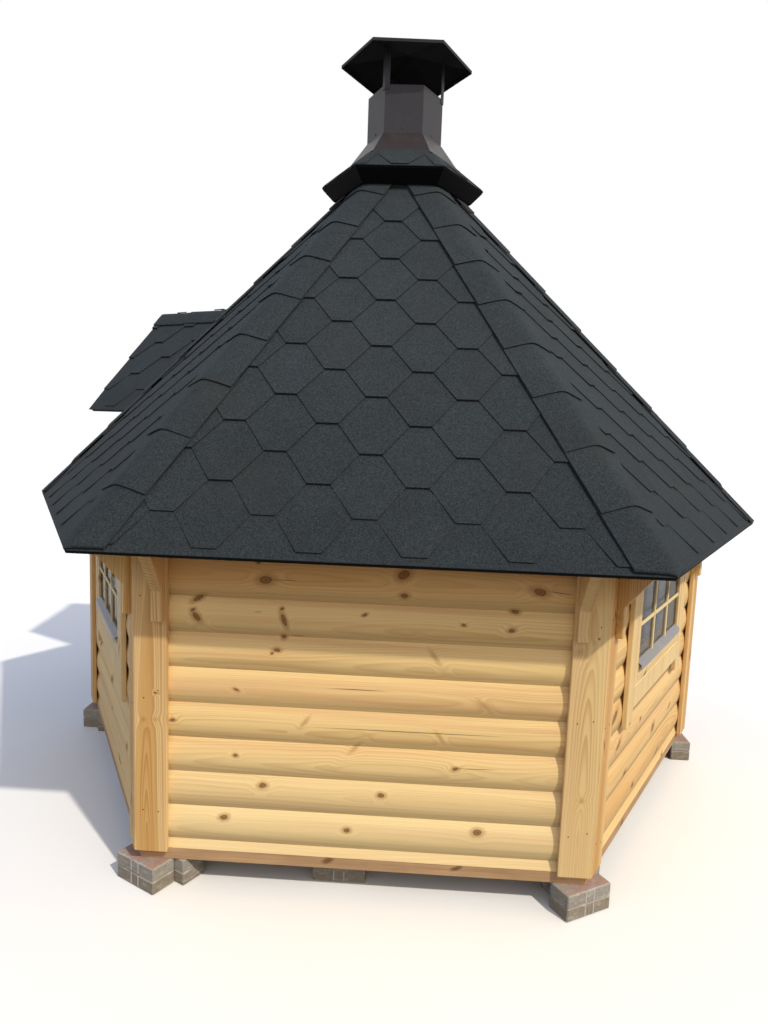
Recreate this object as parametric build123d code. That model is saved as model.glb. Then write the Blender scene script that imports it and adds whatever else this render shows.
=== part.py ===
"""Hexagonal log cabin on block pavers: half-round log walls, six-sided shingle roof, door dormer and chimney.

Millimetres, +Z up. The origin is on the ground under the middle of the cabin, and the door faces -Y.
Each side of the hexagon is drawn facing -Y and then turned about Z to its own place.
"""

import os
from math import atan, cos, degrees, radians, sin, tan

from build123d import *

# Clearances
seat_gap = 0.3
log_gap = 0.4
mitre_gap = 0.4

# Block pavers under the corners, the middle of each side and the middle of the floor
paver_length = 200.0
paver_width = 100.0
paver_height = 50.0
paver_layers = 2
paver_gap = 2.0
middle_paver_setback = 100.0
middle_paver_slide = -85.0
inner_paver_slide = 45.0

# Sill ring and floor
sill_height = 45.0
sill_width = 95.0
sill_setback = 25.0
floor_thickness = 28.0
joist_width = 45.0
joist_spacing = 620.0
joists_each_side = 1

# Log walls, measured over the corner boards
wall_side = 1653.0
log_height = 130.4
log_thickness = 45.0
log_bulge = 14.0
log_count = 10
starter_height = 34.0

# Boards planted on the logs
board_thickness = 20.0
corner_board_width = 120.0
corner_board_drop = 6.0
casing_width = 90.0

# Windows, placed by the log courses that they cut
window_first_course = 4
window_courses = 4
frame_stile_width = 40.0
frame_setback = 2.0
frame_foot_lift = 28.0
glass_width = 720.0
glass_height = 324.0
glass_foot_lift = 104.0
glass_thickness = 18.0
glass_setback = 12.0
casing_foot_drop = 122.0
drip_sheet = 2.0
drip_fall = 16.0
drip_lip = 20.0
drip_proud = 12.0

# Eave brackets on the corner boards
bracket_thickness = 42.0
bracket_inset = 8.0
bracket_toe = 25.0
bracket_foot_below_eave = 281.0
bracket_upright = 110.0
bracket_reach = 165.0

# Main roof, carried by the wall plates
plate_height = 41.0
eave_overhang = 218.0
roof_pitch = 48.6
roof_thickness = 22.0
rafter_width = 45.0
rafter_depth = 95.0

# Dormer over the door
dormer_headroom = 26.0
dormer_eave_overhang = 80.0
dormer_front_overhang = 368.0
cheek_thickness = 20.0

# Door
door_width = 770.0
door_height = 1560.0
door_gap = 4.0
door_thickness = 42.0
door_threshold = 36.0
jamb_width = 60.0
door_light_width = 330.0
door_light_height = 340.0
door_light_drop = 210.0
door_light_thickness = 14.0
door_light_bead = 20.0
hinge_height = 110.0
hinge_radius = 9.0
hinge_inset = 230.0
handle_height = 820.0
handle_plate_width = 40.0
handle_plate_height = 210.0
handle_plate_thickness = 5.0
handle_bar_radius = 9.0
handle_bar_length = 120.0
handle_standoff = 45.0
handle_setback = 55.0
handle_neck_share = 0.7

# Chimney: timber curb through the roof, shingled collar, steel skirt, stack and cap
curb_inner = 175.0
curb_thickness = 28.0
curb_depth = 120.0
collar_foot_side = 352.0
collar_lift = 35.0
collar_edge_side = 408.0
collar_band = 64.0
collar_pitch = 41.8
collar_edge_thickness = 8.0
sheet_thickness = 2.0
skirt_foot_side = 276.0
skirt_height = 112.0
stack_side = 187.0
stack_height = 221.0
stack_tail = 60.0
cap_side = 327.0
cap_lift = 148.0
cap_rim = 14.0
cap_rise = 62.0
cap_turn = 3.0
cap_peak_share = 0.04
strap_width = 40.0
strap_thickness = 3.0
strap_overlap = 22.0
straps = 3

# Worked-out places
SIDES = 6
side_turn = 360 / SIDES
half_turn = side_turn / 2
flat_share = cos(radians(half_turn))
slope = tan(radians(roof_pitch))
roof_plumb = roof_thickness / cos(radians(roof_pitch))
hip_pitch = atan(slope * flat_share)

sill_foot = paver_layers * paver_height
wall_foot = sill_foot + sill_height
logs_foot = wall_foot + starter_height
log_top = logs_foot + log_count * log_height

wall_out = wall_side * flat_share
log_crest = wall_out - board_thickness - seat_gap
log_valley = log_crest - log_bulge
log_back = log_crest - log_thickness
sill_out = wall_out - sill_setback
sill_in = sill_out - sill_width

eave_out = wall_out + eave_overhang
eave_side = eave_out / flat_share
plate_top = log_top + plate_height
eave_height = plate_top + seat_gap + roof_plumb - (eave_out - log_crest) * slope

opening_half = glass_width / 2 + frame_stile_width + seat_gap
opening_foot = logs_foot + window_first_course * log_height
opening_top = opening_foot + window_courses * log_height
glass_foot = opening_foot + glass_foot_lift
frame_foot = opening_foot + frame_foot_lift
frame_top = glass_foot + glass_height + frame_stile_width
frame_front = wall_out - frame_setback

door_half = door_width / 2
jamb_inner = door_half + door_gap
jamb_outer = jamb_inner + jamb_width
door_foot = wall_foot + door_threshold + door_gap
door_top = door_foot + door_height
head_foot = door_top + door_gap
head_top = head_foot + jamb_width
doorway_half = jamb_outer + seat_gap

dormer_front = wall_out + dormer_front_overhang
dormer_half_width = doorway_half + cheek_thickness + dormer_eave_overhang
dormer_seat = head_top + dormer_headroom
dormer_eave_height = dormer_seat + roof_plumb - (dormer_half_width - jamb_outer) * slope

curb_outer = curb_inner + curb_thickness
collar_edge = collar_edge_side * flat_share
collar_foot = collar_foot_side * flat_share
collar_foot_height = eave_height + (eave_out - collar_foot) * slope + collar_lift
collar_edge_height = collar_foot_height + collar_band
collar_slope = tan(radians(collar_pitch))
skirt_foot_inner = skirt_foot_side * flat_share - sheet_thickness
skirt_foot_height = collar_edge_height + (collar_edge - skirt_foot_inner) * collar_slope + seat_gap
stack_top_height = skirt_foot_height + skirt_height + stack_height
stack_hole_side = stack_side + sheet_thickness / flat_share
cap_edge_height = stack_top_height + cap_lift
cap_peak_side = cap_side * cap_peak_share

# Walls in their order round the hexagon, from the door's side
WALLS = ("front", "front_right", "back_right", "back", "back_left", "front_left")
WINDOW_WALLS = ("front_right", "back", "front_left")


def roof_top(out):
    """Height of the main roof's upper surface at a distance from the axis, square to a side."""
    return eave_height + (eave_out - out) * slope


def roof_under(out):
    """Height of the main roof's lower surface at a distance from the axis, square to a side."""
    return roof_top(out) - roof_plumb


def dormer_top(across):
    """Height of the dormer's upper surface at a distance from its ridge line."""
    return dormer_eave_height + (dormer_half_width - across) * slope


def dormer_under(across):
    """Height of the dormer's lower surface at a distance from its ridge line."""
    return dormer_top(across) - roof_plumb


def turned(shape, side):
    """Turn a shape drawn on the side facing -Y to another side of the hexagon."""
    return Rot(0, 0, side * side_turn) * shape


def box(x0, x1, out0, out1, z0, z1):
    """Upright block between two places along the side, two distances from the axis and two heights."""
    size = Box(x1 - x0, out1 - out0, z1 - z0, align=Align.MIN)
    return Pos(x0, -out1, z0) * size


def outline(points):
    """Closed flat face through points."""
    return make_face(Polyline(*points, close=True))


def along_side(section, half_length):
    """Run a section, drawn as distance from the axis and height, along a side to both ends."""
    face = Plane(origin=(0, 0, 0), x_dir=(0, -1, 0), z_dir=(-1, 0, 0)) * section
    return extrude(face, amount=half_length, both=True)


def sector(reach, gap=mitre_gap):
    """Wedge of one side of the hexagon, seen from above, set back for the mitre joints."""
    start = gap / 2 / sin(radians(half_turn))
    half = (reach - start) * tan(radians(half_turn))
    face = outline([(0, -start), (half, -reach), (-half, -reach)])
    return extrude(face, amount=stack_top_height)


def mitred(section, out_most):
    """Run a section along a side and cut both ends to the hexagon's mitres."""
    bar = along_side(section, out_most * tan(radians(half_turn)))
    return bar & sector(out_most + mitre_gap)


def above(shape, origin, normal):
    """Keep the part of a shape on the side of a plane that its normal points to."""
    return split(shape, Plane(origin=origin, z_dir=normal), keep=Keep.TOP)


def under_dormer(shape, hand, gap):
    """Cut a shape off below one slope of the dormer."""
    origin = (0, 0, dormer_under(0) - gap)
    return above(shape, origin, (-hand * slope, 0, -1))


def hexagon(side, height):
    """Flat hexagon with its sides square to the walls, at a height."""
    points = []
    for corner in range(SIDES):
        angle = radians(half_turn + corner * side_turn)
        points.append((side * sin(angle), -side * cos(angle)))
    return Pos(0, 0, height) * outline(points)


def tapered(foot_side, top_side, foot, rise):
    """Six-sided solid with flat faces that narrows from its foot to its top."""
    lean = atan((foot_side - top_side) * flat_share / rise)
    return extrude(hexagon(foot_side, foot), amount=rise, taper=degrees(lean))


def paver_stack(across, out):
    """Pavers laid flat in layers, centred at a place on one side."""
    stack = []
    for layer in range(paver_layers):
        foot = layer * paver_height
        block = box(
            across - paver_length / 2,
            across + paver_length / 2,
            out - paver_width / 2,
            out + paver_width / 2,
            foot,
            foot + paver_height - seat_gap,
        )
        stack.append(block)
    return stack


def make_pavers():
    """Two stacks under each corner, one under the middle of each side and one under the floor's middle."""
    blocks = []
    corner_outer = wall_side - paver_width / 2
    corner_inner = corner_outer - paver_width - paver_gap
    middle = wall_out - middle_paver_setback - paver_width / 2
    for side in range(SIDES):
        for block in paver_stack(0, corner_outer) + paver_stack(inner_paver_slide, corner_inner):
            blocks.append(Rot(0, 0, half_turn) * turned(block, side))
        for block in paver_stack(middle_paver_slide, middle):
            blocks.append(turned(block, side))
    return blocks + paver_stack(0, 0)


def make_sills():
    """Sill beam under each wall, mitred at the corners."""
    section = outline(
        [
            (sill_in, sill_foot),
            (sill_out, sill_foot),
            (sill_out, wall_foot - seat_gap),
            (sill_in, wall_foot - seat_gap),
        ]
    )
    beam = mitred(section, sill_out)
    return [turned(beam, side) for side in range(SIDES)]


def make_joists():
    """Joists across the floor, butted to the sill ring."""
    ring = extrude(hexagon((sill_in - seat_gap) / flat_share, sill_foot), amount=sill_height - seat_gap)
    joists = []
    for step in range(-joists_each_side, joists_each_side + 1):
        middle = step * joist_spacing
        bar = box(
            -wall_side,
            wall_side,
            middle - joist_width / 2,
            middle + joist_width / 2,
            sill_foot,
            wall_foot - seat_gap,
        )
        joists.append(bar & ring)
    return joists


def make_floor():
    """Floor deck inside the walls, on the sills' inner ledge and the joists."""
    return [extrude(hexagon((log_back - seat_gap) / flat_share, wall_foot), amount=floor_thickness)]


def log_section(foot):
    """Half-round log: flat inside, bulging outside, with a valley at both joints."""
    low = foot + log_gap / 2
    high = foot + log_height - log_gap / 2
    face_arc = ThreePointArc(
        (log_valley, low),
        (log_crest, (low + high) / 2),
        (log_valley, high),
    )
    rest = Polyline((log_valley, high), (log_back, high), (log_back, low), (log_valley, low))
    return make_face([face_arc, rest])


def log_courses():
    """Starter strip and full logs of a plain wall, from the foot up."""
    starter = mitred(log_section(logs_foot - log_height), log_crest)
    courses = [above(starter, (0, 0, wall_foot), (0, 0, 1))]
    for course in range(log_count):
        courses.append(mitred(log_section(logs_foot + course * log_height), log_crest))
    return courses


def make_wall(name):
    """One wall's logs, with its window or doorway cut through."""
    courses = log_courses()
    cut = None
    if name in WINDOW_WALLS:
        cut = box(-opening_half, opening_half, 0, wall_out, opening_foot, opening_top)
    if name == "front":
        cut = box(-doorway_half, doorway_half, 0, wall_out, 0, head_top)
    logs = []
    for course in courses:
        left = course - cut if cut else course
        logs.extend(left.solids())
    return [turned(log, WALLS.index(name)) for log in logs]


def make_plates():
    """Wall plates on the top logs, bevelled to carry the roof."""
    section = outline(
        [
            (log_back, log_top),
            (log_crest, log_top),
            (log_crest, plate_top),
            (log_back, plate_top + log_thickness * slope),
        ]
    )
    plate = mitred(section, log_crest)
    plates = [turned(plate, side) for side in range(1, SIDES)]
    doorway = box(-doorway_half, doorway_half, 0, wall_out, log_top, stack_top_height)
    return plates + list((plate - doorway).solids())


def make_corner_boards():
    """Two flat boards at each corner, mitred together and planted on the logs."""
    back = wall_out - board_thickness
    inner = wall_side / 2 - corner_board_width
    foot = wall_foot - corner_board_drop
    section = outline([(back, foot), (wall_out, foot), (wall_out, log_top), (back, log_top)])
    strip = mitred(section, wall_out)
    pair = (strip - box(-inner, inner, 0, wall_out, 0, stack_top_height)).solids()
    return [turned(board, side) for side in range(SIDES) for board in pair]


def make_brackets():
    """Knee bracket on each corner board, from the wall up to the roof's lower surface."""
    foot = eave_height - bracket_foot_below_eave
    seat = wall_out + seat_gap
    top = roof_under(seat) - seat_gap
    knee = wall_out + bracket_toe
    tip = wall_out + bracket_reach
    section = outline(
        [
            (seat, foot),
            (knee, foot),
            (knee, foot + bracket_upright),
            (tip, roof_under(tip) - seat_gap - roof_thickness),
            (tip, roof_under(tip) - seat_gap),
            (seat, top),
        ]
    )
    plate = along_side(section, bracket_thickness / 2)
    across = wall_side / 2 - corner_board_width + bracket_inset + bracket_thickness / 2
    pair = [Pos(hand * across, 0, 0) * plate for hand in (-1, 1)]
    return [turned(bracket, side) for side in range(SIDES) for bracket in pair]


def make_window_frame():
    """Stiles, rails and packers that fill one window opening round its glass."""
    half = glass_width / 2
    outer = opening_half - seat_gap
    glass_top = glass_foot + glass_height
    packer_foot = opening_foot + log_gap
    packer_top = opening_top - log_gap
    bars = [
        box(-half, half, log_back, frame_front, frame_foot, glass_foot - seat_gap),
        box(-half, half, log_back, frame_front, glass_top + seat_gap, frame_top),
        box(-outer, outer, log_back, log_crest, packer_foot, frame_foot - seat_gap),
        box(-outer, outer, log_back, log_crest, frame_top + seat_gap, packer_top),
    ]
    stile_in = half + seat_gap
    for low, high in ((-outer, -stile_in), (stile_in, outer)):
        bars.append(box(low, high, log_back, frame_front, frame_foot, frame_top))
    return bars


def make_window_glass():
    """Sealed glass unit of one window, held between the frame's bars."""
    front = wall_out - glass_setback
    half = glass_width / 2 - seat_gap
    top = glass_foot + glass_height
    return [box(-half, half, front - glass_thickness, front, glass_foot, top)]


def make_window_casing():
    """Four flat boards round one window, planted on the logs."""
    back = wall_out - board_thickness
    inner = opening_half
    outer = inner + casing_width
    foot = opening_foot - casing_foot_drop
    top = frame_top + casing_width
    boards = [
        box(-inner + seat_gap, inner - seat_gap, back, wall_out, frame_foot - casing_width, frame_foot - seat_gap),
        box(-inner + seat_gap, inner - seat_gap, back, wall_out, frame_top + seat_gap, top),
    ]
    for low, high in ((-outer, -inner), (inner, outer)):
        boards.append(box(low, high, back, wall_out, foot, top))
    return boards


def make_drip():
    """Folded metal drip at the foot of one window's glass: a falling leaf and a front lip."""
    glass_front = wall_out - glass_setback
    back = glass_front + seat_gap
    front = wall_out + drip_proud
    high = glass_foot + seat_gap + drip_fall
    low = high - drip_fall
    section = outline(
        [
            (back, high),
            (front, low),
            (front, low - drip_lip),
            (front - drip_sheet, low - drip_lip),
            (front - drip_sheet, low - drip_sheet),
            (back, high - drip_sheet),
        ]
    )
    return [along_side(section, glass_width / 2 - seat_gap)]


def roof_section(inner):
    """Roof slab cut square at the eave and upright at its inner end."""
    drop = roof_thickness * cos(radians(roof_pitch))
    back = roof_thickness * sin(radians(roof_pitch))
    return outline(
        [
            (eave_out, roof_top(eave_out)),
            (eave_out - back, roof_top(eave_out) - drop),
            (inner, roof_under(inner)),
            (inner, roof_top(inner)),
        ]
    )


def make_roof_side():
    """One plain side of the main roof, from the eave up to the curb."""
    return mitred(roof_section(curb_outer + seat_gap), eave_out)


def make_front_roof():
    """Front side of the roof in four slabs round the dormer's opening."""
    side = make_roof_side()
    notch_out = eave_out - (dormer_under(doorway_half) + roof_plumb - eave_height) / slope
    reach = eave_side
    slabs = []
    for hand in (-1, 1):
        half = Pos(hand * reach / 2, 0, 0) * Box(reach - mitre_gap, 2 * reach, 2 * stack_top_height)
        upper = side & half & box(-reach, reach, 0, notch_out - mitre_gap, 0, stack_top_height)
        origin = (0, 0, dormer_under(0))
        upper = above(upper, origin, (hand * slope, 0, 1))
        low, high = sorted((hand * doorway_half, hand * reach))
        lower = side & box(low, high, notch_out, reach, 0, stack_top_height)
        slabs.extend((upper, lower))
    return slabs


def make_rafters():
    """Hip rafter under each hip, from the wall plates' inner corner to the curb."""
    lowered = rafter_width / 2 * sin(radians(half_turn)) * slope + seat_gap
    foot_out = (log_back - seat_gap - rafter_width / 2 * sin(radians(half_turn))) / flat_share
    head_out = (curb_outer + seat_gap) / flat_share

    def top(out):
        return roof_under(out * flat_share) - lowered

    plumb = rafter_depth / cos(hip_pitch)
    section = outline(
        [
            (head_out, top(head_out)),
            (foot_out, top(foot_out)),
            (foot_out, top(foot_out) - plumb),
            (head_out, top(head_out) - plumb),
        ]
    )
    rafter = Rot(0, 0, half_turn) * along_side(section, rafter_width / 2)
    return [turned(rafter, side) for side in range(SIDES)]


def make_dormer_slope(hand):
    """One slope of the dormer roof, scribed to the main roof behind it."""
    ridge = hand * mitre_gap / 2
    edge = hand * dormer_half_width
    drop = roof_thickness * cos(radians(roof_pitch))
    back = hand * roof_thickness * sin(radians(roof_pitch))
    face = outline(
        [
            (ridge, dormer_top(0)),
            (edge, dormer_top(dormer_half_width)),
            (edge - back, dormer_top(dormer_half_width) - drop),
            (ridge, dormer_under(0)),
        ]
    )
    slab = extrude(Plane.XZ * face, amount=dormer_front)
    return [above(slab, (0, -eave_out, eave_height + seat_gap), (0, -slope, 1))]


def make_cheeks():
    """Small side walls between the main roof and the dormer's eaves."""
    front = log_crest
    vanish = eave_out - (dormer_under(doorway_half) - eave_height) / slope
    section = outline(
        [
            (front, roof_top(front) + seat_gap),
            (front, dormer_under(doorway_half)),
            (vanish, dormer_under(doorway_half)),
            (vanish, roof_top(vanish) + seat_gap),
        ]
    )
    cheeks = []
    for hand in (-1, 1):
        panel = along_side(section, cheek_thickness / 2)
        panel = Pos(hand * (doorway_half + seat_gap + cheek_thickness / 2), 0, 0) * panel
        panel = above(panel, (0, -eave_out, eave_height + seat_gap), (0, -slope, 1))
        cheeks.append(under_dormer(panel, hand, seat_gap))
    return cheeks


def make_gable():
    """Log gable over the door, cut to the dormer's slopes."""
    top = dormer_under(0) - seat_gap
    logs = []
    foot = head_top + seat_gap
    while foot < top:
        log = along_side(log_section(foot), jamb_outer)
        for hand in (-1, 1):
            log = under_dormer(log, hand, seat_gap)
        logs.append(log)
        foot += log_height
    return logs


def make_door_frame():
    """Jambs, head and threshold round the door leaf."""
    foot = wall_foot
    bars = [
        box(-jamb_inner, jamb_inner, log_back, log_crest, foot, foot + door_threshold),
        box(-jamb_inner, jamb_inner, log_back, log_crest, head_foot, head_top),
    ]
    inner = jamb_inner + seat_gap
    for low, high in ((-jamb_outer, -inner), (inner, jamb_outer)):
        bars.append(box(low, high, log_back, log_crest, foot, head_top))
    return bars


def door_light_place():
    """Foot and top of the small window in the door."""
    top = door_top - door_light_drop
    return top - door_light_height, top


def make_door_leaf():
    """Door leaf with a hole for its small window and a bead round it."""
    low, high = door_light_place()
    half = door_light_width / 2
    bead_out = log_crest + door_light_bead / 2
    leaf = box(-door_half, door_half, log_crest - door_thickness, log_crest, door_foot, door_top)
    bead = box(
        -half - door_light_bead,
        half + door_light_bead,
        log_crest - door_thickness,
        bead_out,
        low - door_light_bead,
        high + door_light_bead,
    )
    hole = box(-half, half, 0, wall_out, low, high)
    return [leaf + bead - hole]


def make_door_glass():
    """Glass in the door's small window."""
    low, high = door_light_place()
    half = door_light_width / 2 - seat_gap
    middle = log_crest - door_thickness / 2
    depth = door_light_thickness / 2
    return [box(-half, half, middle - depth, middle + depth, low + seat_gap, high - seat_gap)]


def make_door_casing():
    """Flat boards beside the door, planted on the logs."""
    back = wall_out - board_thickness
    boards = []
    for low, high in ((-doorway_half - casing_width, -doorway_half), (doorway_half, doorway_half + casing_width)):
        boards.append(box(low, high, back, wall_out, wall_foot, log_top))
    return boards


def make_door_hinges():
    """Three barrel hinges on the door's left edge."""
    out = log_crest + hinge_radius + seat_gap
    heights = (door_foot + hinge_inset, (door_foot + door_top) / 2, door_top - hinge_inset)
    barrel = Cylinder(hinge_radius, hinge_height)
    joint = door_half + (door_gap + seat_gap) / 2
    return [Pos(-joint, -out, height) * barrel for height in heights]


def make_door_handle():
    """Lever handle on its plate, on the door's right side."""
    across = door_half - handle_setback
    foot = door_foot + handle_height - handle_plate_height / 2
    face = log_crest + seat_gap
    plate = box(
        across - handle_plate_width / 2,
        across + handle_plate_width / 2,
        face,
        face + handle_plate_thickness,
        foot,
        foot + handle_plate_height,
    )
    out = face + handle_standoff
    neck = Pos(across, -face - handle_standoff / 2, foot + handle_plate_height * handle_neck_share)
    neck = neck * Rot(90, 0, 0) * Cylinder(handle_bar_radius, handle_standoff)
    lever = Pos(across - handle_bar_length / 2, -out, foot + handle_plate_height * handle_neck_share)
    lever = lever * Rot(0, 90, 0) * Cylinder(handle_bar_radius, handle_bar_length + 2 * handle_bar_radius)
    return [plate + neck + lever]


def make_curb():
    """Timber curb of six boards that frames the smoke hole and stops the rafters and the roof."""
    foot = roof_under(curb_outer) - curb_depth
    top = collar_edge_height + (collar_edge - curb_outer) * collar_slope
    section = outline([(curb_inner, foot), (curb_outer, foot), (curb_outer, top), (curb_inner, top)])
    board = mitred(section, curb_outer)
    return [turned(board, side) for side in range(SIDES)]


def make_collar():
    """Shingled collar round the curb, with a heavy drip edge that stands clear of the main roof."""
    inner = curb_outer + seat_gap
    drop = collar_edge_thickness
    section = outline(
        [
            (collar_edge, collar_edge_height),
            (collar_edge, collar_edge_height - drop),
            (collar_foot, collar_foot_height),
            (inner, collar_foot_height + (collar_foot - inner) * slope),
            (inner, collar_edge_height + (collar_edge - inner) * collar_slope),
        ]
    )
    piece = mitred(section, collar_edge)
    return [turned(piece, side) for side in range(SIDES)]


def make_skirt():
    """Flared steel skirt from the collar up to the stack."""
    thin = sheet_thickness / flat_share
    outer = tapered(skirt_foot_side, stack_hole_side, skirt_foot_height, skirt_height)
    inner = tapered(skirt_foot_side - thin, stack_hole_side - thin, skirt_foot_height, skirt_height)
    hole = extrude(hexagon(stack_side + seat_gap / flat_share, skirt_foot_height), amount=2 * skirt_height)
    return [outer - inner - hole]


def make_stack():
    """Six-sided steel stack, open at both ends."""
    foot = skirt_foot_height - stack_tail
    outer = extrude(hexagon(stack_side, foot), amount=stack_top_height - foot)
    inner = extrude(hexagon(stack_side - sheet_thickness / flat_share, foot), amount=stack_top_height - foot)
    return [outer - inner]


def make_cap():
    """Shallow six-sided cap of sheet steel with a turned-down rim."""
    rim_foot = cap_edge_height - cap_rim
    thin = sheet_thickness / flat_share
    outer = extrude(hexagon(cap_side, rim_foot), amount=cap_rim)
    outer = outer + tapered(cap_side, cap_peak_side, cap_edge_height, cap_rise)
    inner = extrude(hexagon(cap_side - thin, rim_foot), amount=cap_rim - sheet_thickness)
    inner_foot = cap_edge_height - sheet_thickness
    inner = inner + tapered(cap_side - thin, cap_peak_side - thin, inner_foot, cap_rise)
    return [Rot(0, 0, cap_turn) * (outer - inner)]


def make_straps():
    """Angle straps folded round every other corner of the stack, which carry the cap."""
    fold_in = stack_side + seat_gap / flat_share
    fold_out = fold_in + strap_thickness / flat_share
    foot = stack_top_height - strap_overlap
    reach = fold_out * cos(radians(half_turn - cap_turn)) / flat_share
    thin = sheet_thickness / flat_share
    fall_share = (cap_side - thin - reach) / (cap_side - cap_peak_side)
    top = cap_edge_height - sheet_thickness + cap_rise * fall_share - seat_gap
    fold = extrude(hexagon(fold_out, foot), amount=top - foot)
    fold = fold - extrude(hexagon(fold_in, foot), amount=top - foot)
    corner = Rot(0, 0, half_turn) * box(-strap_width / 2, strap_width / 2, 0, cap_side, foot, top)
    strap = fold & corner
    return [turned(strap, 1 + step * SIDES / straps) for step in range(straps)]


def window_set(name, shapes):
    """Turn a window's pieces to its wall."""
    return [turned(shape, WALLS.index(name)) for shape in shapes]


def all_nodes():
    """Every named piece of the cabin with its solids."""
    nodes = {
        "pavers": make_pavers(),
        "sill_beams": make_sills(),
        "floor_joists": make_joists(),
        "floor_deck": make_floor(),
        "wall_plates": make_plates(),
        "corner_boards": make_corner_boards(),
        "eave_brackets": make_brackets(),
        "hip_rafters": make_rafters(),
        "dormer_left_slope": make_dormer_slope(-1),
        "dormer_right_slope": make_dormer_slope(1),
        "dormer_cheeks": make_cheeks(),
        "dormer_gable": make_gable(),
        "door_frame": make_door_frame(),
        "door_leaf": make_door_leaf(),
        "door_glass": make_door_glass(),
        "door_casing": make_door_casing(),
        "door_hardware": make_door_hinges() + make_door_handle(),
        "chimney_curb": make_curb(),
        "chimney_collar": make_collar(),
        "chimney_skirt": make_skirt(),
        "chimney_stack": make_stack(),
        "chimney_straps": make_straps(),
        "chimney_cap": make_cap(),
        "window_drips": [],
    }
    frame, glass, casing, drip = make_window_frame(), make_window_glass(), make_window_casing(), make_drip()
    side_roof = make_roof_side()
    for side, name in enumerate(WALLS):
        nodes[f"{name}_wall"] = make_wall(name)
        if name in WINDOW_WALLS:
            nodes[f"{name}_window_frame"] = window_set(name, frame)
            nodes[f"{name}_window_glass"] = window_set(name, glass)
            nodes[f"{name}_window_casing"] = window_set(name, casing)
            nodes["window_drips"].extend(window_set(name, drip))
        nodes[f"{name}_roof"] = make_front_roof() if name == "front" else [turned(side_roof, side)]
    return nodes


os.makedirs("parts", exist_ok=True)
for node, shapes in all_nodes().items():
    solids = [solid for shape in shapes for solid in shape.solids()]
    export_step(Compound(children=solids) if len(solids) > 1 else solids[0], f"parts/{node}.step")
    print(node, len(solids))
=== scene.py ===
# %% [markdown]
# A hexagonal log cabin with a shingle roof, a dormer over its door and a steel chimney.
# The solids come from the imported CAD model, which is a fixed frame: nothing in it is moved.
# This lesson dresses it. Each cell makes one finish or one kind of piece.

# %% Load the frame
import random
from math import atan, cos, radians, sin, sqrt, tan

import bmesh
import bpy
from mathutils import Matrix, Vector


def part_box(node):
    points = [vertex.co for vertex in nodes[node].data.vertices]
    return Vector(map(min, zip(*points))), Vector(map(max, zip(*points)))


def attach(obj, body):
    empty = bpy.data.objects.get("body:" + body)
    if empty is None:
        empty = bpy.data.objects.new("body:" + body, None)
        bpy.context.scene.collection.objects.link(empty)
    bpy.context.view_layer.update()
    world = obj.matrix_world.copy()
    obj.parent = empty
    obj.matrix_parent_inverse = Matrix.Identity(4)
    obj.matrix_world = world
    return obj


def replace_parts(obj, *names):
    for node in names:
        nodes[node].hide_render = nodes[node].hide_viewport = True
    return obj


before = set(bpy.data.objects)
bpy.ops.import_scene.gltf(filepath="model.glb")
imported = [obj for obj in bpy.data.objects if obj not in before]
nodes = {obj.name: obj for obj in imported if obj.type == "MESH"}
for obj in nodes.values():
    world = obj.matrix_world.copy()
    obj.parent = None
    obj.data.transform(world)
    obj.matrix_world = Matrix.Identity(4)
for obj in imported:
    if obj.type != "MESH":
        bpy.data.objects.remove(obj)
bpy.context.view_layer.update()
print("nodes in the frame:", len(nodes))

# %% [markdown]
# The cabin has six equal sides, so a few sizes place nearly everything. They are read from the frame,
# not typed again, so that the shingles still fit if the cabin's source changes.
# The roof's slope comes from two corners of one roof side, and the wall's place from the corner boards.
# Only the height of a log and the number of logs in a wall are given as plain numbers.

# %% Sizes read from the frame
sixth = radians(60)
half_corner = radians(30)


def points_of(name):
    """The corner points of a node, in the shared frame."""
    return [vertex.co for vertex in nodes[name].data.vertices]


eave_edge = max(points_of("back_roof"), key=lambda point: point.y)
roof_peak = max(points_of("back_roof"), key=lambda point: point.z)
eave_out = eave_edge.y
eave_height = eave_edge.z
roof_pitch = atan((roof_peak.z - eave_height) / (eave_out - roof_peak.y))
eave_side = eave_out / cos(half_corner)
wall_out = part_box("corner_boards")[1].y
wall_side = wall_out / cos(half_corner)
log_height = 0.1304
log_count = 10
logs_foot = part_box("back_left_wall")[1].z - log_count * log_height
print("eave", round(eave_out, 3), "out at", round(eave_height, 3), "pitch", round(roof_pitch, 3))
print("wall", round(wall_out, 3), "out, logs from", round(logs_foot, 3))

# %% [markdown]
# A finish in Blender is a graph of nodes. Written by hand, each node takes several lines, so this small
# class wraps a socket instead: adding or multiplying two sockets adds a Math node and gives its socket.
# The method add makes any other node: its settings come first, then the values or links of its sockets.

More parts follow.
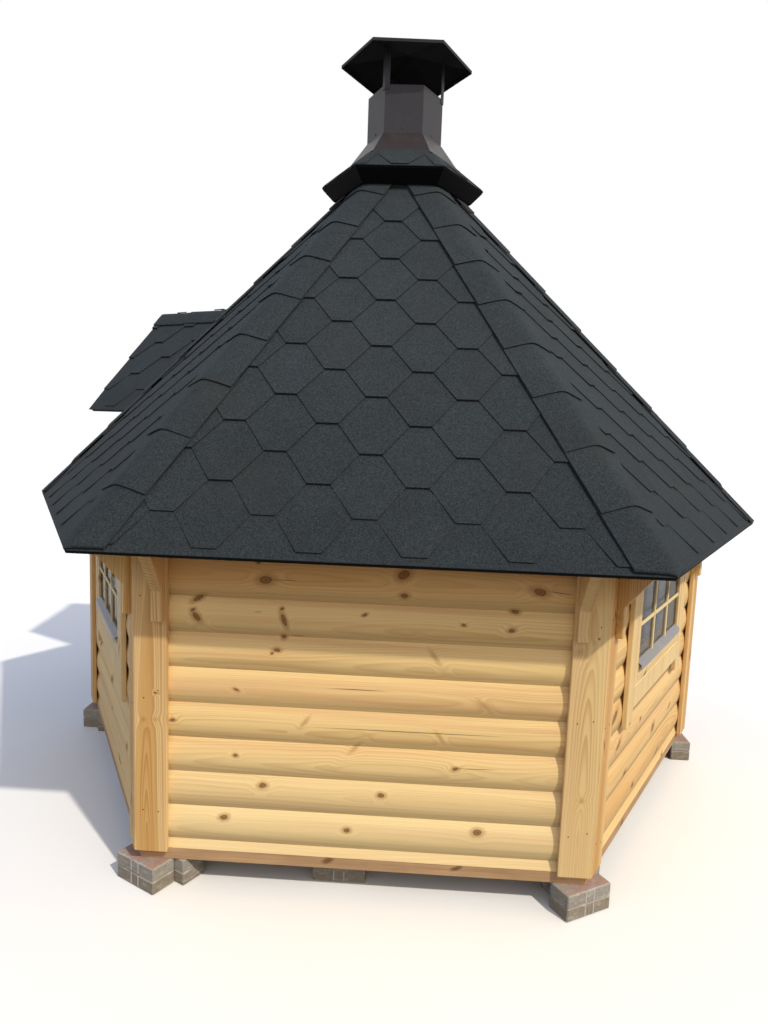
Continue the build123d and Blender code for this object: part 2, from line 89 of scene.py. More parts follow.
# %% Nodes as Python expressions
class Paint:
    """A socket in a finish's graph of nodes, with Python's operators for its maths."""

    def __init__(self, tree, socket=None):
        self.tree = tree
        self.socket = socket

    def add(self, kind, settings=None, sockets=None, out=0):
        node = self.tree.nodes.new("ShaderNode" + kind)
        for name, setting in (settings or {}).items():
            setattr(node, name, setting)
        for name, value in (sockets or {}).items():
            if isinstance(value, Paint):
                self.tree.links.new(value.socket, node.inputs[name])
            else:
                node.inputs[name].default_value = value
        return Paint(self.tree, node.outputs[out] if node.outputs else None)

    def other(self, out):
        return Paint(self.tree, self.socket.node.outputs[out])

    def maths(self, operation, *others):
        return self.add("Math", {"operation": operation}, dict(enumerate((self, *others))))

    def __add__(self, other):
        return self.maths("ADD", other)

    __radd__ = __add__

    def __mul__(self, other):
        return self.maths("MULTIPLY", other)

    __rmul__ = __mul__

    def __sub__(self, other):
        return self.maths("SUBTRACT", other)

    def __rsub__(self, other):
        return self.add("Math", {"operation": "SUBTRACT"}, {0: other, 1: self})

    def __truediv__(self, other):
        return self.maths("DIVIDE", other)

    def __rtruediv__(self, other):
        return self.add("Math", {"operation": "DIVIDE"}, {0: other, 1: self})

    def __pow__(self, other):
        return self.maths("POWER", other)

    def __lt__(self, other):
        return self.maths("LESS_THAN", other)

    def __gt__(self, other):
        return self.maths("GREATER_THAN", other)

    def __abs__(self):
        return self.maths("ABSOLUTE")

    def floor(self):
        return self.maths("FLOOR")

    def least(self, other):
        return self.maths("MINIMUM", other)

    def fade(self, low, high):
        """A soft step from 0 at the value low to 1 at the value high."""
        sockets = {0: self, 1: low, 2: high}
        return self.add("MapRange", {"interpolation_type": "SMOOTHSTEP"}, sockets)


def vector(x, y, z):
    """A vector from three sockets or numbers, the first of them a socket."""
    return x.add("CombineXYZ", {}, {0: x, 1: y, 2: z})


def split(paint):
    """The three parts of a vector or a colour."""
    first = paint.add("SeparateXYZ", {}, {0: paint})
    return first, first.other(1), first.other(2)


def blend(share, first, second):
    """A colour that goes from the first to the second as the share goes from 0 to 1."""
    maker = share if isinstance(share, Paint) else first
    return maker.add("Mix", {"data_type": "RGBA"}, {0: share, 6: first, 7: second}, 2)


def scaled(colour, by):
    """A colour made brighter or darker."""
    parts = colour if isinstance(colour, Paint) else colour[:3]
    return by.add("VectorMath", {"operation": "SCALE"}, {0: parts, 3: by})


def noise(place, scale, detail=2.0, rough=0.5):
    """Soft noise from 0 to 1, around one half."""
    sockets = {"Vector": place, "Scale": scale, "Detail": detail, "Roughness": rough}
    return place.add("TexNoise", {}, sockets)


def luck_of(x, y, z):
    """Three random numbers from 0 to 1 for each whole-number place."""
    return split(x.add("TexWhiteNoise", {}, {"Vector": vector(x + 0.5, y, z)}, 1))


def new_finish(name):
    """An empty material, and the Paint that adds nodes to it."""
    material = bpy.data.materials.new(name)
    material.use_nodes = True
    material.node_tree.nodes.clear()
    return material, Paint(material.node_tree)


def place_of(paint):
    """Where a point lies in the shared frame."""
    return paint.add("TexCoord", out=3)


def facing_of(paint):
    """The way that a face looks."""
    return paint.add("NewGeometry", out=1)


def surface(paint, colour, rough, shine=0.5, height=None, depth=0.001, strength=0.5, others=None):
    """Close a finish with its shader, and a bump from a height from 0 to 1 where one is given."""
    sockets = {"Base Color": colour, "Roughness": rough, "Specular IOR Level": shine, **(others or {})}
    if height is not None:
        bump = {"Strength": strength, "Distance": depth, "Height": height}
        sockets["Normal"] = paint.add("Bump", {}, bump)
    shader = paint.add("BsdfPrincipled", {}, sockets)
    paint.add("OutputMaterial", {}, {"Surface": shader})


print("Paint is ready")

# %% [markdown]
# Six sides look alike, so most finishes want to know where a point lies on its own side: how far across,
# how far out and how high. The bearing round the middle gives the side's number, and turning the point
# back by that many sixths lays every side on the first one. One wood finish then serves all walls.

# %% Where a point lies on its side
def turned_back(way, side):
    """The three parts of a place or direction on some side, turned back onto the first side."""
    turn = {"Vector": way, "Angle": side * -sixth}
    return split(way.add("VectorRotate", {"rotation_type": "Z_AXIS"}, turn))


def side_place(paint):
    """Across, outward and height on the side where a point lies, and that side's number from 0 to 5."""
    where = place_of(paint)
    x, y = split(where)[:2]
    side = (x.maths("ARCTAN2", 0 - y) / sixth + 0.5).floor()
    across, inward, height = turned_back(where, side)
    return across, 0 - inward, height, (side + 6).maths("FLOORED_MODULO", 6)


print("six sides,", round(wall_side, 3), "m each")

# %% [markdown]
# Pine shows what the tree was: rings round a pith that wanders along the log, dark late wood in each
# ring, orange heartwood near the pith, and knots that the grain flows round. A flat picture of grain
# would repeat, so the finish works out the distance to a pith behind the face instead. Where the pith
# comes near the face, that alone draws the pointed arches of sawn pine. A knot pushes the rings aside.

# %% Pine
pale_wood = (0.86, 0.625, 0.285, 1)
blush_wood = (0.74, 0.455, 0.215, 1)
warm_wood = (0.63, 0.345, 0.105, 1)
late_wood = (0.46, 0.225, 0.062, 1)
knot_rim = (0.40, 0.185, 0.055, 1)
knot_heart = (0.25, 0.115, 0.032, 1)
knot_bark = (0.085, 0.036, 0.012, 1)
bleached_wood = (0.86, 0.735, 0.425, 1)
ring_width = 0.0085
wide_heartwood = (0.022, 0.075)
narrow_heartwood = (0.032, 0.046)
far_off = 9


def pine(paint, along, cross, deep, luck, near, crack=None, spread=0.10, gold=0.5, pith=0.028, taper=0.05,
         bleach=None, tone_and_painted_shade=None, rings=1.0, heartwood=wide_heartwood):
    """Close a finish as pine: along the fibres, across them, and deep into the wood, in metres.

    near is the distance to the nearest knot, where 1 is its rim, and crack the same for a drying crack.
    spread is how far the pith may lie off the middle, pith how deep it lies at least, and gold how
    strongly the heartwood round it shows. taper is how fast the pith may come nearer along the wood.
    bleach is how far the sun has bleached the wood, and the colour scale after it holds the logs' tone and
    the painted shade under each crown. rings is how clearly the rings show. heartwood gives the radii where
    the heartwood begins to pale and where it ends.
    """
    first, second, third = luck
    drift = noise(vector(along, first * 9, second * 9), 1.2, 1.0) - 0.5
    aside = cross - (first - 0.5) * spread + drift * 0.05
    behind = deep + pith + second * 0.04 + drift * 0.05 + along * (third - 0.5) * taper
    push = 1 - near.fade(0.4, 4.5)
    radius = (aside * aside + behind * behind) ** 0.5 + push * 0.012
    ripple = noise(vector(along * 2.0, cross * 26, deep * 26), 1.0, 2.0)
    uneven = noise(vector(radius * 55, first * 9, third * 9), 1.0, 1.0)
    ring = (radius / ring_width + ripple * 0.8 + uneven * 2.2).maths("FRACT")
    late = ring.fade(0.2, 0.9) * (1 - ring.fade(0.9, 1.0))
    streak = noise(vector(along * 1.6 + first * 5, cross * 110, deep * 110), 1.0, 4.0, 0.62)
    band = noise(vector(along * 0.7 + third * 7, cross * 24 + first * 9, second * 9), 1.0, 2.0)
    bold = noise(vector(along * 0.9, cross * 8, third * 9), 1.0, 1.0).fade(0.35, 0.65)
    heart = (1 - radius.fade(*heartwood)) * gold + third * third * 0.3
    wood = blend(band.fade(0.44, 0.66) * 0.55 + first * 0.25, pale_wood, blush_wood)
    wood = blend(heart, wood, warm_wood)
    wood = blend(late * (0.07 * rings ** 2 + bold * (0.26 * rings)), wood, late_wood)
    wood = scaled(wood, 0.86 + streak * 0.24 + second * 0.04)
    if bleach is not None:
        wood = blend(bleach, wood, bleached_wood)
    # The colour scale below holds the logs' tone and their painted shade under each crown.
    if tone_and_painted_shade is not None:
        wood = scaled(wood, tone_and_painted_shade)
    wood = blend((1 - near.fade(0.9, 2.2)) * 0.55, wood, knot_rim)
    knot = 1 - near.fade(0.6, 1.0)
    wood = blend(knot * 0.8, wood, knot_heart)
    bark = near.fade(0.45, 0.7) * (1 - near.fade(0.7, 0.95)) + (1 - near.fade(0.0, 0.5)) * 0.8
    wood = blend(bark * 0.55, wood, knot_bark)
    if crack is not None:
        wood = blend((1 - crack.fade(0.4, 1.0)) * 0.8, wood, knot_bark)
    height = streak * 0.6 + late * 0.25 - knot * 0.3
    surface(paint, wood, 0.5 + streak * 0.2, 0.22, height, 0.0014)


def knots_at(paint, across, height, marks, soft=0.0, wobble=0.007):
    """Distance to the nearest of some marks: across, height, half length, half breadth and lean of each.

    A long thin mark is a side branch that was cut along, which is paler than a round knot. soft makes
    all marks paler, down to a mere swirl in the grain, and wobble is how far their outlines stray.
    """
    here = vector(across, height, 0)
    stray = paint.add("TexNoise", {}, {"Vector": here, "Scale": 60.0, "Detail": 2.0}, 1)
    nudge = {0: stray, 1: (wobble, wobble, 0), 2: here}
    here = paint.add("VectorMath", {"operation": "MULTIPLY_ADD"}, nudge)
    nearest = None
    for mark_across, mark_height, length, breadth, lean in marks:
        place = {0: here, 1: (mark_across, mark_height, 0), 2: (0, 0, lean), 3: (length, breadth, 1)}
        mark = paint.add("Mapping", {"vector_type": "TEXTURE"}, place)
        reach = paint.add("VectorMath", {"operation": "LENGTH"}, {0: mark}, 1)
        paler = 0.88 if 3 < length / breadth < 9 else soft
        if paler:
            reach = reach * 0.8 + paler
        nearest = reach if nearest is None else nearest.least(reach)
    return nearest


def scattered_knots(along, cross, line, side, spacing=0.42, largest=0.016):
    """Distance to the nearest of the knots that fall by chance, one or none in each stretch of a log."""
    stretch = along / spacing + line * 0.37
    number = stretch.floor()
    first, second, third = luck_of(number, line, side)
    stray = noise(vector(along, cross, line), 60.0) - 0.5
    beside = cross - (second - 0.5) * 0.07 + stray * 0.010
    forth = (stretch - number - 0.25 - first * 0.5) * spacing + beside * (third - 0.5) * 4
    breadth = 0.005 + first * largest
    reach = ((forth / (breadth * 1.5)) ** 2 + (beside / breadth) ** 2) ** 0.5
    return reach + (third > 0.6) * far_off


print("pine rings every", ring_width * 1000, "mm")

# %% [markdown]
# The walls are half-round logs. Each log is its own tree, so its number and its side's number pick
# its luck. The wall with the plain logs gets its knots and drying cracks one by one, because that is the
# wall one looks at, and the other walls get theirs by chance. The lowest logs of the plain wall are mixed
# towards bleached wood, and painted shade darkens every log from its crown down to its underside, and a
# little at its top edge.

# %% Log walls
plain_wall_knots = [
    (-0.36, 1.167, 0.026, 0.016, 0.1),
    (-0.39, 1.225, 0.007, 0.004, 0.0),
    (0.12, 1.206, 0.024, 0.017, 0.4),
    (0.125, 1.134, 0.015, 0.010, 0.0),
    (0.59, 1.169, 0.025, 0.014, -0.2),
    (-0.60, 1.090, 0.023, 0.009, 0.5),
    (-0.618, 1.048, 0.010, 0.006, 0.5),
    (-0.605, 1.024, 0.022, 0.011, -0.9),
    (-0.386, 1.051, 0.013, 0.0035, 0.0),
    (-0.302, 1.066, 0.008, 0.006, 0.5),
    (-0.294, 1.027, 0.027, 0.009, -1.2),
    (-0.01, 1.059, 0.010, 0.005, 0.3),
    (0.51, 1.094, 0.015, 0.008, 0.0),
    (0.50, 1.029, 0.013, 0.007, 0.2),
    (0.335, 1.039, 0.009, 0.005, 0.0),
    (-0.294, 0.964, 0.010, 0.009, 0.3),
    (-0.317, 0.917, 0.014, 0.007, 0.0),
    (-0.334, 0.905, 0.006, 0.005, 0.0),
    (0.24, 0.919, 0.034, 0.009, -0.9),
    (0.42, 0.754, 0.034, 0.009, -0.7),
    (-0.46, 0.764, 0.010, 0.005, -0.4),
    (-0.21, 0.659, 0.028, 0.008, 0.9),
    (0.27, 0.629, 0.028, 0.008, -0.9),
    (-0.69, 0.639, 0.011, 0.007, 0.0),
    (-0.03, 0.569, 0.032, 0.009, 0.8),
    (-0.46, 0.519, 0.009, 0.006, 0.0),
    (0.33, 0.514, 0.012, 0.007, 0.2),
    (-0.36, 0.409, 0.015, 0.010, 0.1),
    (0.07, 0.399, 0.014, 0.009, 0.0),
    (-0.50, 0.279, 0.016, 0.010, 0.2),
    (-0.05, 0.259, 0.013, 0.009, 0.0),
    (0.42, 0.279, 0.018, 0.012, 0.1),
]
plain_wall_cracks = [
    (-0.03, 0.784, 0.13, 0.0022, 0.0),
    (0.16, 0.639, 0.45, 0.0022, 0.005),
    (0.66, 1.165, 0.06, 0.0020, -0.1),
    (-0.30, 1.166, 0.06, 0.0016, 0.0),
    (-0.25, 0.967, 0.04, 0.0016, 0.0),
    (0.40, 0.515, 0.10, 0.0018, 0.02),
]


def log_finish(name, by_hand, bleach, crown):
    """Pine for log walls, with knots listed or by chance.

    bleach is how far the lowest logs are bleached, and crown the tone at the crown of each log, under which
    painted shade darkens it.
    """
    material, paint = new_finish(name)
    across, out, height, side = side_place(paint)
    course = ((height - logs_foot) / log_height).floor()
    cross = height - logs_foot - (course + 0.5) * log_height
    crack = None
    if by_hand:
        near = knots_at(paint, across, height, plain_wall_knots)
        crack = knots_at(paint, across, height, plain_wall_cracks, wobble=0.0)
    else:
        near = scattered_knots(across, cross, course, side)
    bleached = (1 - height.fade(0.30, 0.62)) * bleach
    # Painted shade: each log darkens from its crown down to its underside, and a little at its top edge.
    tone_and_painted_shade = crown - 0.26 + cross.fade(-0.060, -0.005) * 0.26 - cross.fade(0.030, 0.062) * 0.06
    luck = luck_of(course, side, 0.5)
    pine(paint, across, cross, wall_out - out, luck, near, crack, bleach=bleached, tone_and_painted_shade=tone_and_painted_shade)
    return material


def dress(material, *names):
    """Give CAD nodes a finish."""
    for name in names:
        nodes[name].material_slots[0].material = material


def named(ending):
    """The names of the CAD nodes with some ending."""
    return [name for name in nodes if name.endswith(ending)]


dress(log_finish("log_pine", False, 0.0, 1.02), "dormer_gable", "wall_plates", *named("_wall"))
dress(log_finish("plain_log_pine", True, 0.35, 1.08), "back_right_wall")
print("knots by hand:", len(plain_wall_knots))

# %% [markdown]
# Boards cover the ends of the logs at each corner and beside each window. Their grain stands upright.
# Every board lies in its own twelfth of the circle, left or right of a wall's middle, so the bearing
# also picks each board's own luck. The brown sill is pine too, darkened by its treatment.

# %% Boards
corner_board_width = 0.12
corner_board_middle = wall_side / 2 - corner_board_width / 2
casing_middle = 0.445
frame_middle = 0.38
rails_within = 0.359
rail_height = 0.75
floor_height = 0.12
floor_seed = 13.5
sill_height = 0.122
plain_side = 2
corner_board_swirls = [
    (-0.788, 0.644, 0.014, 0.012, 0.0),
    (-0.744, 0.647, 0.013, 0.011, 0.1),
    (0.734, 0.972, 0.026, 0.020, 0.3),
    (0.775, 0.434, 0.016, 0.012, 0.2),
]
corner_board_knots = [
    (0.796, 1.020, 0.004, 0.003, 0.0),
    (-0.745, 0.745, 0.005, 0.004, 0.0),
]


def board_finish(name, middle, seed, gold, pith, rings=1.2, taper=0.13, pale=0.3, rails=0.0, by_hand=False):
    """Pine for boards whose grain stands upright, at some middle to the left and right of a wall.

    pale is how far the wood is bleached. Nearer than rails to the wall's middle the boards are rails,
    with their grain across. by_hand is for the corner boards: those of the plain wall get listed knots,
    and its right board is nearly all sapwood.
    """
    material, paint = new_finish(name)
    across, out, height, side = side_place(paint)
    hand = across > 0
    lying = abs(across) < rails
    along = height + lying * (across - height)
    beside = abs(across) - middle
    cross = beside + lying * (height - rail_height - beside)
    luck = luck_of(hand + 2 * side + lying * 20, side, seed)
    near = scattered_knots(along, cross, hand + 2 * side, side + seed, 0.5, 0.010)
    heartwood = wide_heartwood
    if by_hand:
        heartwood = narrow_heartwood
        plain = abs(side - plain_side) < 0.5
        sapwood = plain * hand
        gold = gold * (1 - sapwood * 0.8)
        pale = sapwood * 0.1
        marks = knots_at(paint, across, height, corner_board_knots)
        marks = marks.least(knots_at(paint, across, height, corner_board_swirls, 1.2))
        near = (near + plain * far_off).least(marks + (1 - plain) * far_off)
    pine(paint, along, cross, wall_out - out, luck, near, None, 0.025, gold, pith, taper, pale, None, rings,
         heartwood)
    return material


def floor_finish():
    """Pine for the floor, whose boards lie across."""
    material, paint = new_finish("floor_pine")
    across, out, height, side = side_place(paint)
    near = scattered_knots(across, height - floor_height, side, side + floor_seed)
    pine(paint, across, height, wall_out - out, luck_of(side, side, floor_seed), near)
    return material


corner_pine = board_finish("corner_pine", corner_board_middle, 3.5, 0.75, 0.008, 1.8, by_hand=True)
casing_pine = board_finish("casing_pine", casing_middle, 7.5, 0.2, 0.020)
frame_pine = board_finish("frame_pine", frame_middle, 11.5, 0.25, 0.03, taper=0.03, rails=rails_within)
dress(corner_pine, "corner_boards", "eave_brackets", "hip_rafters")
dress(casing_pine, *named("_casing"))
dress(frame_pine, "door_frame", "door_leaf", "dormer_cheeks", "chimney_curb", *named("_window_frame"))
dress(floor_finish(), "floor_deck", "floor_joists")


def brown_finish():
    """Brown treated timber for the sill."""
    material, paint = new_finish("brown_pine")
    across, out, height, side = side_place(paint)
    streak = noise(vector(across * 3, height * 90, out * 90), 1.0, 4.0, 0.6)
    blotch = noise(vector(across, height, side), 5.0, 3.0)
    near = scattered_knots(across, height - sill_height, side, side + 4, 0.5, 0.012)
    wood = blend(streak, (0.28, 0.155, 0.073, 1), (0.72, 0.47, 0.26, 1))
    wood = scaled(wood, 0.7 + blotch * 0.6)
    wood = blend((1 - near.fade(0.5, 1.7)) * 0.8, wood, (0.13, 0.058, 0.018, 1))
    surface(paint, wood, 0.62 + streak * 0.2, 0.2, streak, 0.0015)
    return material


dress(brown_finish(), "sill_beams")
print("boards dressed")

# %% [markdown]
# The roof sides are boards with felt. From below one sees bare pine boards, and at the eave a black
# edge. One finish does both: the way a face looks tells its boards from its edge, because only the
# underside looks back towards the middle of the cabin. On the dormer it looks towards the ridge.

# %% Roof boards and black edges
board_pitch = 0.095
felt_black = (0.0026, 0.0027, 0.0029, 1)


def roof_board_finish(name, on_dormer):
    """Bare boards on the underside of the roof, black felt on its edges and top."""
    material, paint = new_finish(name)
    across, out, height, side = side_place(paint)
    facing = facing_of(paint)
    if on_dormer:
        along = out
        inward = across * split(facing)[0] < 0
    else:
        along = across
        inward = turned_back(facing, side)[1] > 0.3
    under = inward * (split(facing)[2] < -0.2)
    up_slope = (height - eave_height) / sin(roof_pitch) + 5
    board = (up_slope / board_pitch).floor()
    cross = up_slope - (board + 0.5) * board_pitch
    streak = noise(vector(along * 1.6, cross * 90, board), 1.0, 4.0, 0.6)
    near = scattered_knots(along, cross, board, side + 2)
    first = luck_of(board, side, 0.5)[0]
    wood = scaled(blend(streak, warm_wood, pale_wood), 0.75 + first * 0.15)
    wood = blend((1 - near.fade(0.7, 1.5)) * 0.85, wood, knot_heart)
    wood = blend(abs(cross).fade(0.0445, 0.0470), wood, knot_bark)
    colour = blend(under, felt_black, wood)
    surface(paint, colour, 0.75 - under * 0.2 + streak * 0.1, 0.2, streak)
    return material


dress(roof_board_finish("roof_boards", False), *named("_roof"))
dress(roof_board_finish("dormer_boards", True), "dormer_left_slope", "dormer_right_slope")
print("roof boards every", board_pitch * 1000, "mm")

# %% [markdown]
# Bitumen shingles are sheets of felt with crushed slate pressed into them. Up close they are grains
# of a few millimetres, light and dark; from afar a charcoal with a little blue. Their cut edges are
# plain bitumen. A number on each tab, kept on the mesh, makes no two tabs quite the same, and the
# slate is darker towards the eave.

# %% Shingle finishes
def shingle_finish():
    """Charcoal slate grains on felt."""
    material, paint = new_finish("slate_grains")
    where = place_of(paint)
    grain = split(paint.add("TexVoronoi", {}, {"Vector": where, "Scale": 330.0}, 1))[0]
    clump = noise(where, 95.0, 2.0, 0.7)
    blotch = noise(where, 9.0, 4.0)
    rust = noise(where, 3.1, 3.0).fade(0.5, 0.72)
    shade = paint.add("Attribute", {"attribute_name": "shade"}, out=2)
    slate = blend(grain, (0.016, 0.020, 0.0225, 1), (0.046, 0.056, 0.0635, 1))
    slate = blend(rust * 0.3, slate, (0.038, 0.036, 0.034, 1))
    # The slate is darker towards the eave.
    darker_at_eave = 0.87 + split(where)[2].fade(eave_height, eave_height + 0.8) * 0.13
    slate = scaled(slate, (0.60 + shade * 0.12 + blotch * 0.30 + clump * 0.36) * darker_at_eave)
    surface(paint, slate, 0.82 + grain * 0.15, 0.12, grain, 0.0012, 0.6)
    return material


def felt_finish(name, tone, shine):
    """Bitumen felt, bare of slate."""
    material, paint = new_finish(name)
    grain = noise(place_of(paint), 180.0, 3.0)
    surface(paint, scaled(tone, 0.6 + grain * 0.8), 0.55 + grain * 0.3, shine, grain)
    return material


slate_grains = shingle_finish()
felt_edge = felt_finish("felt_edge", (0.030, 0.033, 0.036, 1), 0.10)
black_felt = felt_finish("black_felt", felt_black, 0.05)
dress(black_felt, "chimney_collar")
print("shingle finishes ready")

# %% [markdown]
# Each course of shingles is one sheet whose lower edge is cut into tabs, like the lower half of a
# hexagon. The tabs of one course sit over the notches of the course below. An image of shingles would
# look flat at the eave, so every course is a closed sheet a few millimetres thick, tipped so that it
# lies on the two courses under it. A plane cuts the sheets at the hips, as a knife would.

# %% Shingle sheets
tab_pitch = 1 / 3
tab_flat = 0.080
exposure = 0.136
first_flat = 0.020
sheet = 0.0040
drip = 0.008
lap = 0.01
chance = random.Random(7)


def cut(sheets, planes):
    """Cut closed sheets by planes, each a point and the direction of what falls off, and close the cuts."""
    for point, away in planes:
        everything = sheets.verts[:] + sheets.edges[:] + sheets.faces[:]
        bmesh.ops.bisect_plane(sheets, geom=everything, plane_co=point, plane_no=away, clear_outer=True)
        rim = [edge for edge in sheets.edges if edge.is_boundary]
        if rim:
            bmesh.ops.holes_fill(sheets, edges=rim, sides=0)
    bmesh.ops.recalc_face_normals(sheets, faces=sheets.faces[:])


def thicken(sheets, faces, normal, thickness):
    """Turn flat faces into closed sheets of a thickness."""
    made = bmesh.ops.extrude_face_region(sheets, geom=faces, use_keep_orig=True)["geom"]
    below = [part for part in made if isinstance(part, bmesh.types.BMVert)]
    bmesh.ops.translate(sheets, verts=below, vec=-normal * thickness)


def shade_layer(sheets):
    """The layer that keeps a tone for every face."""
    return sheets.faces.layers.float.get("shade") or sheets.faces.layers.float.new("shade")


def mark_tops(sheets, normal, least=0.9):
    """Give slate to the faces that look along the normal, and bare felt to the cut edges."""
    sheets.normal_update()
    for face in sheets.faces:
        face.material_index = 0 if face.normal.dot(normal) > least else 1


def shingle_course(sheets, place, row, bottom, reach, begin=0.0):
    """Add one course of tabs across the reach, flats at the height bottom up the slope, moved by begin."""
    shade = shade_layer(sheets)
    shift = 0.5 if row % 2 == 0 else 0.0
    top = bottom + 2 * exposure + lap
    slant = (tab_pitch - tab_flat) / 2
    faces = []

    def corner(across, up, more=0.0):
        lift = sheet * (2.2 - (up - bottom) / exposure) + more
        return sheets.verts.new(place(across, up, lift))

    previous = None
    count = int(reach / tab_pitch) + 2
    for tab in range(-count, count + 1):
        tab_middle = (tab + shift) * tab_pitch + begin
        more = chance.uniform(0.0, 0.0016)
        tone = chance.random()
        left = corner(tab_middle - slant, bottom + exposure)
        right = corner(tab_middle + slant, bottom + exposure)
        left_top = corner(tab_middle - slant, top)
        right_top = corner(tab_middle + slant, top)
        foot = [corner(tab_middle + half * tab_flat / 2, bottom, more) for half in (-1, 1)]
        quads = [(left, foot[0], foot[1], right), (left, right, right_top, left_top)]
        if previous:
            quads.append((previous[0], left, left_top, previous[1]))
        for quad in quads:
            face = sheets.faces.new(quad)
            face[shade] = tone
            faces.append(face)
        previous = (right, right_top)
    return faces


def straight_course(sheets, place, bottom, top, reach):
    """Add the plain strip that lies under the lowest tabs."""
    shade = shade_layer(sheets)
    corners = [(-reach, bottom), (reach, bottom), (reach, top), (-reach, top)]
    face = sheets.faces.new([sheets.verts.new(place(across, up, sheet)) for across, up in corners])
    face[shade] = 0.4
    return [face]


def shingle_field(place, normal, courses, reach, planes, begin=0.0, hang=drip, strip=2 * exposure):
    """Courses on one side, each with its row and its height, over a plain strip, and cut to an outline."""
    sheets = bmesh.new()
    faces = straight_course(sheets, place, -hang, strip, reach)
    for row, bottom in courses:
        faces += shingle_course(sheets, place, row, bottom, reach, begin)
    thicken(sheets, faces, normal, sheet * 0.95)
    cut(sheets, planes)
    mark_tops(sheets, normal)
    return sheets


def courses_up(rows):
    """The rows of a whole side, each with its height up the slope."""
    return [(row, first_flat + row * exposure) for row in range(rows)]


def join(whole, part):
    """Add a bmesh to another one."""
    held = bpy.data.meshes.new("held")
    part.to_mesh(held)
    whole.from_mesh(held)
    bpy.data.meshes.remove(held)
    part.free()


def add_piece(name, solid, finishes, turn=0.0):
    """Turn a bmesh into a piece that rides on the cabin."""
    bmesh.ops.rotate(solid, verts=solid.verts[:], cent=(0, 0, 0), matrix=Matrix.Rotation(turn, 3, "Z"))
    mesh = bpy.data.meshes.new(name)
    solid.to_mesh(mesh)
    solid.free()
    for finish in finishes:
        mesh.materials.append(finish)
    piece = bpy.data.objects.new(name, mesh)
    bpy.context.scene.collection.objects.link(piece)
    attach(piece, "root")
    print(name, len(mesh.polygons), "faces")
    return piece


def add_shingles(name, sheets, turn=0.0):
    """Turn felt sheets into a piece with slate on top and bare felt at its edges."""
    add_piece(name, sheets, [slate_grains, felt_edge], turn)


# %% [markdown]
# The six main sides are drawn once, facing the door, and turned into place. The side over the door
# loses what the dormer covers: its sheets are cut in four parts round the dormer, and joined again.

# %% Shingles on the six sides
class RoofSide:
    """The front side of a six-sided roof, and a hip of that roof turned to the front."""

    def __init__(self, out, height, pitch):
        self.up = Vector((0, cos(pitch), sin(pitch)))
        self.off = Vector((0, -sin(pitch), cos(pitch)))
        self.foot = Vector((0, -out, height))
        self.hip_rise = atan(tan(pitch) * cos(half_corner))
        self.hip_foot = Vector((0, -out / cos(half_corner), height))
        self.hip_along = Vector((0, cos(self.hip_rise), sin(self.hip_rise)))
        self.hip_above = Vector((0, -sin(self.hip_rise), cos(self.hip_rise)))
        self.hip_fall = self.hip_above.angle(Matrix.Rotation(half_corner, 3, "Z") @ self.off)

    def place(self, across, up, lift):
        """A point: across, up the slope and off the boards."""
        return self.foot + Vector((across, 0, 0)) + self.up * up + self.off * lift


main_side = RoofSide(eave_out, eave_height, roof_pitch)
roof_courses = courses_up(16)
shingles_end = 0.262
front_seed = 11
side_names = ("front", "front_right", "back_right", "back", "back_left", "front_left")
tab_begins = {"back_right": -0.014, "back_left": 0.05, "front_left": -0.04}
middle_point = Vector((0, 0, 0))
backward = Vector((0, 1, 0))
hip_planes = [(middle_point, Vector((hand * cos(half_corner), sin(half_corner), 0))) for hand in (1, -1)]
side_planes = hip_planes + [(Vector((0, -shingles_end, 0)), backward)]
dormer_edge = max(points_of("dormer_right_slope"), key=lambda point: point.x)
dormer_ridge = max(points_of("dormer_right_slope"), key=lambda point: point.z)
dormer_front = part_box("dormer_right_slope")[0].y
dormer_half = dormer_edge.x
cheek_out = max(abs(point.x) for point in points_of("dormer_cheeks"))
valley_out = eave_out - (dormer_ridge.z - eave_height) / tan(roof_pitch)


def front_parts():
    """The planes that leave each of the four parts of the front side."""
    parts = []
    for hand in (-1, 1):
        across = Vector((hand, 0, 0))
        parts.append([(across * cheek_out, -across)])
        under_valley = Vector((-hand, -1, 0)).normalized()
        parts.append([
            (across * cheek_out, across),
            (middle_point, -across),
            (Vector((0, -valley_out, 0)), under_valley),
        ])
    return parts


for number, side_name in enumerate(side_names):
    shape = (main_side.place, main_side.off, roof_courses, eave_side / 2)
    if side_name == "front":
        field = bmesh.new()
        for part in front_parts():
            chance.seed(front_seed)
            join(field, shingle_field(*shape, side_planes + part))
    else:
        field = shingle_field(*shape, side_planes, tab_begins.get(side_name, 0.0))
    add_shingles(side_name + "_shingles", field, number * sixth)

# %% [markdown]
# A black strip of felt is folded down over the edge of the boards at every eave. It is thin, but it
# draws the dark line under the roof, so each side gets a small strip with a rounded section.

# %% Eave strips
def eave_strip(parts):
    """A folded strip of felt along the front eave, cut to what each set of planes leaves."""
    strip = bmesh.new()
    section = [
        (eave_out - 0.010, eave_height - 0.014),
        (eave_out + 0.001, eave_height - 0.0145),
        (eave_out + 0.0045, eave_height - 0.012),
        (eave_out + 0.0055, eave_height - 0.004),
        (eave_out + 0.002, eave_height - 0.0005),
        (eave_out - 0.010, eave_height + 0.003),
    ]
    for planes in parts:
        part = bmesh.new()
        ends = [[part.verts.new((end, -out, height)) for out, height in section] for end in (-1, 1)]
        part.faces.new(ends[0][::-1])
        part.faces.new(ends[1])
        for here in range(len(section)):
            after = (here + 1) % len(section)
            part.faces.new((ends[0][here], ends[0][after], ends[1][after], ends[1][here]))
        cut(part, hip_planes + planes)
        join(strip, part)
    return strip


